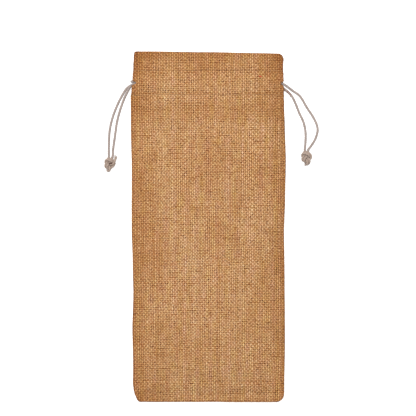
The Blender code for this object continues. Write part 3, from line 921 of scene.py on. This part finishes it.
def open_overhand(count, length):
    """A loose overhand knot of this length, from (0, 0, 0) downwards along y."""
    t = np.linspace(-2.06, 2.06, 800)
    shape = np.stack([(t ** 4 - 4 * t ** 2) * 0.8, -(t ** 3 - 3 * t) * 1.2, (t ** 5 - 10 * t) * 0.25], -1)
    points = evenly(shape, count)
    points = points * length / path_length(points)
    return points - points[0]


def evenly(points, count):
    """The same path in evenly spaced points."""
    travelled = distances(points)
    even = np.linspace(0, travelled[-1], count)
    return np.stack([np.interp(even, travelled, axis) for axis in points.T], -1)


def keep_spacing(points, step):
    """Moves neighbours towards their spacing, and points further apart towards a straight line."""
    count = points.shape[1]
    for reach, firmness in ((4, 0.05), (3, 0.08), (2, 0.15), (1, 1.0)):
        for odd in range(reach + 1):
            a = np.arange(odd, count - reach, reach + 1)
            gap = points[:, a + reach] - points[:, a]
            size = np.maximum(np.linalg.norm(gap, axis=-1, keepdims=True), 1e-9)
            move = gap * (size - reach * step) / size / 2 * firmness
            points[:, a] += move
            points[:, a + reach] -= move


def keep_apart(points, separate, thickness):
    """Pushes apart the points that are closer than a cord's thickness."""
    flat = points.reshape(-1, 3)
    gap = flat[:, None] - flat[None, :]
    size = np.sqrt((gap ** 2).sum(-1)) + 1e-9
    push = np.where(separate & (size < thickness), (thickness - size) / size * 0.5, 0.0)
    touching = np.maximum((push > 0).sum(1), 1)[:, None]
    shift = (gap * push[..., None]).sum(1) / np.sqrt(touching)
    return (flat + shift).reshape(points.shape)


def pulled_tight(tops, tails, limit=1.12, rounds=260, easing=60):
    """Two strands tied in an overhand knot, shortened between their ends until they bear."""
    loose = open_overhand(KNOT_BEADS, 84 * MM) - np.array([0, 3 * MM, 0])
    points = np.stack([loose + top for top in tops])
    strand = np.repeat(np.arange(2), KNOT_BEADS)
    place = np.tile(np.arange(KNOT_BEADS), 2)
    between = np.abs(place[:, None] - place[None, :])
    other = strand[:, None] != strand[None, :]
    step = path_length(points[0]) / (KNOT_BEADS - 1)
    first_tails = points[:, -1].copy()
    for turn in range(rounds):
        tail = first_tails + (tails - first_tails) * min(1.0, turn / easing)
        separate = other | (between * step > 1.7 * KNOT_CORD)
        for _ in range(4):
            keep_spacing(points, step)
            points[:, 0] = tops
            points[:, 1] = tops - np.array([0, step, 0])
            points[:, -1] = tail
            points = keep_apart(points, separate, KNOT_CORD)
            points[..., 2] *= 0.997
            points[:, 2:-1, 0] -= 0.02 * points[:, 2:-1, 0].mean()
        stretch = np.linalg.norm(np.diff(points, axis=1), axis=-1).mean() / step
        if stretch > limit and turn > easing:
            break
        step *= 0.996
    return points


def fray(end, direction, rng):
    """The loose yarns of a cut cord end."""
    bundles = []
    for _ in range(FRAY_COUNT):
        aim = direction + rng.normal(0, 0.6, 3) * (1, 1, 0.5)
        bend = rng.normal(0, 0.5, 3)
        length = rng.uniform(0.8, 2.0) * MM
        start = end + rng.normal(0, 0.5, 3) * MM - direction * 0.8 * MM
        share = np.linspace(0, 1, 7)[:, None]
        points = start + (aim * share + bend * share ** 2 / 2) * length
        points[:, 2] = np.maximum(points[:, 2], FRAY)
        bundles.append(hair(points, FRAY))
    return bundles


def knot(word, tops, middle, tails, seed):
    """The knot in both ends of a cord. tops are where its two strands come in, middle is the knot's x,
    and tails are the cut ends."""
    tops = np.array(tops)
    lead = np.array([0, KNOT_LEAD, 0])
    origin = tops.mean(axis=0) + lead
    tails = np.array([(x * MM, y * MM - KNOT_LEAD, z * MM) for x, y, z in tails])
    points = pulled_tight(tops + lead - origin, tails) + origin
    settled = np.clip(np.arange(KNOT_BEADS) / 8, 0, 1)[None, :]
    points[..., 1] -= (1 - settled) * KNOT_LEAD
    points[..., 2] -= settled * (points[..., 2].min() - KNOT_CORD / 2 - 0.1 * MM)
    points[..., 0] += settled * (middle - origin[0])
    rng = np.random.default_rng(seed)
    bundles = []
    for strand in points:
        path = evenly(strand, int(path_length(strand) / CORD_STEP))
        path[1:-1] = (path[:-2] + 2 * path[1:-1] + path[2:]) / 4
        bundles.append(rope_rings(path, KNOT_CORD * 1.04, CORD_LAY, thin_start=STRAND_IN_KNOT))
        direction = path[-1] - path[-4]
        bundles += fray(path[-1], direction / np.linalg.norm(direction), rng)
    piece = tube_piece(word + "_knot_cord", bundles, KNOT_COTTON, word + "_cord")
    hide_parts(word + "_knot")
    return piece


# Threads

THREAD_DIAMETER = 0.6 * MM
FINE_THREAD = 0.32 * MM
OVERLOCK_PITCH = 3.2 * MM
OVERLOCK_REACH = 1.8 * MM
OVERLOCK_HEIGHT = 1.35 * MM
OVERLOCK_Z = 2.5 * MM  # the height of the raw edges inside the bag
UP = np.array([0.0, 0.0, 1.0])


def thread_piece(name, paths, diameter=THREAD_DIAMETER):
    """The sewing thread along these paths, in place of the frame's piece of this name."""
    bundles = [rope_rings(np.asarray(path), diameter, 3 * diameter, around=9) for path in paths]
    piece = tube_piece(name + "_stitches", bundles, THREAD, "bag")
    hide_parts(name)


def stitch_arcs(holes, out):
    """One stitch from each hole to the next. It rises out of the cloth along the vector out."""
    share = np.linspace(0, 1, 9)[:, None]
    rise = (1 - (2 * share - 1) ** 4) * 0.75 - 0.6
    pairs = zip(holes, holes[1:])
    return [start + (end - start) * share + out * rise * MM for start, end in pairs]


def channel_stitches(name, line, outer, inner, up):
    """A lockstitch line across one side of the hem. It shows on the outside and on the facing."""
    reach = HALF_WIDTH - 2.2 * MM
    count = round(2 * reach / STITCH)
    holes = np.linspace(-reach, reach, count + 1)
    wander = line + 0.25 * MM * ripples(holes, 0 * holes, 30, 30, 71)
    out = np.array([0.0, 0.0, up])
    shows = np.stack([holes, wander, outer(holes, wander)], -1)
    hidden = np.stack([holes, wander, inner(holes, wander)], -1)
    hidden = hidden[np.abs(holes) <= FACING_HALF_WIDTH - 6.9 * MM]
    thread_piece(name, stitch_arcs(shows, out) + stitch_arcs(hidden, -out))


def seam_stitches(name, side, low_y, high_y):
    """Ladder stitches in the groove between the two panels' rolled edges."""
    sign = SIGNS[side]
    count = round((high_y - low_y) / STITCH)
    ys = np.linspace(low_y, high_y, count + 1)
    xs = sign * (edge_x(side, ys, False) - 0.75 * MM)
    points = np.stack([xs, ys, eased(ys, SEAM_HEIGHT) / 2], -1)
    thread_piece(name, stitch_arcs(points, np.array([sign * 0.6, 0.0, 0.0])))


def bottom_stitches():
    reach = HALF_WIDTH - 10.0 * MM
    xs = np.linspace(-reach, reach, round(2 * reach / STITCH) + 1)
    points = np.stack([xs, 0 * xs + BOTTOM_Y + 0.75 * MM, 0 * xs + 2.5 * MM], -1)
    thread_piece("bottom_seam_thread", stitch_arcs(points, np.array([0.0, -0.6, 0.0])))


def whipped(start, end, inward):
    """A thread wound round the raw edge that runs from start to end."""
    start, end, inward = (np.array(v, float) for v in (start, end, inward))
    turns = np.linalg.norm(end - start) / OVERLOCK_PITCH
    share = np.linspace(0, 1, int(turns * 14))[:, None]
    angle = share * turns * 2 * np.pi
    across = inward * (0.7 - np.cos(angle)) * OVERLOCK_REACH
    return start + (end - start) * share + across + UP * np.sin(angle) * OVERLOCK_HEIGHT


def overlocks():
    """The thread over the raw edges of the seam allowances, inside the bag."""
    raw_edge = HALF_WIDTH - SIDE_ROLL - ALLOWANCE
    for side, sign in SIGNS.items():
        low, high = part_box(side + "_overlock")
        x = sign * raw_edge
        path = whipped((x, low.y, OVERLOCK_Z), (x, high.y, OVERLOCK_Z), (sign, 0, 0))
        thread_piece(side + "_overlock", [path])
    low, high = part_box("bottom_overlock")
    y = BOTTOM_Y + SIDE_ROLL + ALLOWANCE
    path = whipped((low.x, y, OVERLOCK_Z), (high.x, y, OVERLOCK_Z), (0, -1, 0))
    thread_piece("bottom_overlock", [path])


def bar_tack(name, side):
    """A block of close stitches over the seam's edge, at one end of the cord slit."""
    low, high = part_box(name)
    sign = SIGNS[side]
    paths = []
    for y in np.arange(low.y, high.y, 0.95 * FINE_THREAD):
        edge = float(edge_x(side, y, True))
        half_height = float(eased(y, SEAM_HEIGHT)) / 2
        angle = np.linspace(1.45, -1.45, 14)
        round_edge = np.stack([
            edge - 1.1 * MM + 1.25 * MM * np.cos(angle),
            0 * angle + y,
            half_height + (half_height + 0.08 * MM) * np.sin(angle),
        ], -1)
        lead = np.array([[edge - 3.2 * MM, y, 2 * half_height - 0.2 * MM]])
        tail = np.array([[edge - 3.2 * MM, y, 0.25 * MM]])
        path = np.concatenate([lead, round_edge, tail])
        path[:, 2] = np.maximum(path[:, 2], 0.2 * MM)
        paths.append(path * (sign, 1, 1))
    thread_piece(name, paths, FINE_THREAD)


# Loose fibres

FIBRE = 0.07 * MM
FIBRE_COUNT = 420
WOUND_FIBRE = 0.34 * MM
CREASE_FIBRE = 0.24 * MM
CREASE_FIBRE_COUNT = 15
RED_THREAD = 1.25 * MM
RED_FLECK = (51.9 * MM, 149.2 * MM)
KNOT_CREASE = (-97.4 * MM, 63.4 * MM)


def fibre_piece(name, paths, diameter, material, body):
    tube_piece(name, [hair(path, diameter) for path in paths], material, body)


def loose_fibres():
    """Fine hairs that stand up a little out of the front's yarns."""
    rng = np.random.default_rng(91)
    paths = []
    for _ in range(FIBRE_COUNT):
        x = rng.uniform(-0.94, 0.94) * HALF_WIDTH
        y = rng.uniform(BOTTOM_Y + 8 * MM, MOUTH_Y - 8 * MM)
        start_angle = rng.uniform(0, 2 * np.pi)
        length = rng.uniform(2.5, 7.5) * MM
        bend = rng.uniform(-1.4, 1.4)
        rise = rng.uniform(0.2, 1.1) * MM
        share = np.linspace(0, 1, 9)
        angle = start_angle + bend * share
        xs = x + np.cumsum(np.cos(angle)) * length / 9
        ys = y + np.cumsum(np.sin(angle)) * length / 9
        lift = rise * share * (1.2 - share) - 0.1 * MM
        paths.append(np.stack([xs, ys, front_height(xs, ys) + lift], -1))
    fibre_piece("loose_fibres", paths, FIBRE, THREAD, "bag")


def red_fleck():
    """A short piece of reddish yarn, caught in the weave."""
    share = np.linspace(0, 1, 9)
    xs = RED_FLECK[0] + (share - 0.5) * 2.2 * MM
    ys = RED_FLECK[1] + 0.25 * MM * np.sin(5 * share)
    heights = front_height(xs, ys) + (0.35 - 1.6 * (share - 0.5) ** 2) * MM
    fibre_piece("red_fleck", [np.stack([xs, ys, heights], -1)], RED_THREAD, RED_YARN, "bag")


def wound_brown_fibres():
    """Brown fibres wound round the right cord's lower strand beside the slit, which darken it there."""
    points = route_points(metres(RIGHT_OUT[1:4]), CORD_STEP)
    sides, ups = carried_frames(points)
    count = len(points)
    share = np.linspace(0, 1, count)
    reach = CORD / 2 * (1.02 + 0.5 * np.clip(share * 6 - 5, 0, 1))
    paths = []
    for start in (0.0, 0.7, 1.5, 2.1, 2.9, 3.7, 4.6, 5.5):
        angle = start + share * 9 + 0.6 * np.sin(9 * share + 4 * start)
        around = sides * np.cos(angle)[:, None] + ups * np.sin(angle)[:, None]
        paths.append((points + around * reach[:, None])[:int(count * (0.6 + 0.07 * start))])
    fibre_piece("wound_brown_fibres", paths, WOUND_FIBRE, RED_BROWN, "right_cord")


def knot_crease_shade_fibres(tied):
    """Dark fibres in a crease of the left knot, lying on top of its turns: painted shade for the crease's
    shadow.
    """
    rng = np.random.default_rng(95)
    corners = np.array([vertex.co for vertex in tied.data.vertices])
    share = np.linspace(-0.5, 0.5, 11)
    paths = []
    for _ in range(CREASE_FIBRE_COUNT):
        xs = KNOT_CREASE[0] + share * rng.uniform(1.4, 3.8) * MM + rng.normal(0, 0.5) * MM
        ys = KNOT_CREASE[1] + 0.3 * MM * np.sin(6 * share + rng.uniform(0, 6)) + rng.normal(0, 0.25) * MM
        heights = []
        for x, y in zip(xs, ys):
            near = np.hypot(corners[:, 0] - x, corners[:, 1] - y) < 0.45 * MM
            heights.append(corners[near, 2].max())
        paths.append(np.stack([xs, ys, np.array(heights)], -1))
    fibre_piece("knot_crease_shade_fibres", paths, CREASE_FIBRE, CREASE_SHADE_BROWN, "left_cord")


# Floor, light and camera

def floor():
    size = 3.0
    corners = [(-size, -size, 0), (size, -size, 0), (size, size, 0), (-size, size, 0)]
    paper = Shading("paper").surface({
        "Base Color": (0.5, 0.5, 0.5),
        "Roughness": 1.0,
        "Specular IOR Level": 0.0,
        "Emission Color": (1, 1, 1),
        "Emission Strength": 0.85,
    })
    piece = add_mesh("floor", corners, [[[0, 1, 2, 3]]], paper)
    piece.location.z = -0.1 * MM


def area_light(name, place, aim, size, power):
    light = bpy.data.lights.new(name, "AREA")
    light.shape = "DISK"
    light.size = size
    light.energy = power
    direction = Vector(aim) - Vector(place)
    put(name, light, place).rotation_euler = direction.to_track_quat("-Z", "Y").to_euler()


def light_and_camera():
    world = bpy.data.worlds.new("studio")
    world.use_nodes = True
    background = world.node_tree.nodes["Background"].inputs
    background["Color"].default_value = (1, 1, 1, 1)
    background["Strength"].default_value = 0.5
    bpy.context.scene.world = world
    area_light("key", (-0.22, 0.55, 1.72), (0, 0, 0), 0.8, 34.0)
    camera = bpy.data.cameras.new("camera")
    camera.lens = 85.0
    camera.sensor_width = 36.0
    bpy.context.scene.camera = put("camera", camera, (0.0, 0.0187, 0.987))
    bpy.context.scene.view_settings.view_transform = "Standard"


# The whole bag

def build_cloth():
    front, flat, area = woven_panel("front_cloth", True, 11)
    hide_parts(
        "front_panel", "front_hem_facing", "bottom_seam_allowance", "left_seam_allowance",
        "right_seam_allowance", "left_heading_allowance", "right_heading_allowance",
    )
    back, back_flat, back_area = woven_panel("back_cloth", False, 23)
    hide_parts("back_panel", "back_hem_facing")


def build_cords():
    for word, strand_in, channel, strand_out, seed in (
        ("left", LEFT_IN, LEFT_CHANNEL, LEFT_OUT, 5),
        ("right", RIGHT_IN, RIGHT_CHANNEL, RIGHT_OUT, 6),
    ):
        pieces, path_in, path_out = drawcord(word, strand_in, channel, strand_out)
        low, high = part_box(word + "_knot")
        tops = sorted(metres([strand_in[1], strand_out[-2]]))
        tied = knot(word, tops, (low.x + high.x) / 2, KNOT_TAILS[word], seed)
        if word == "left":
            knot_crease_shade_fibres(tied)


def build_threads():
    for word, outer, inner, up in (
        ("front", front_height, front_facing_height, 1.0),
        ("back", back_height, back_facing_height, -1.0),
    ):
        channel_stitches(word + "_lower_channel_stitch", LOWER_STITCH_Y, outer, inner, up)
        channel_stitches(word + "_upper_channel_stitch", UPPER_STITCH_Y, outer, inner, up)
    for side in ("left", "right"):
        for name in (side + "_seam_thread", side + "_heading_seam_thread"):
            low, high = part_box(name)
            seam_stitches(name, side, low.y, high.y)
        bar_tack(side + "_upper_bar_tack", side)
        bar_tack(side + "_lower_bar_tack", side)
    bottom_stitches()
    overlocks()


build_cloth()
build_cords()
build_threads()
loose_fibres()
red_fleck()
wound_brown_fibres()
floor()
light_and_camera()
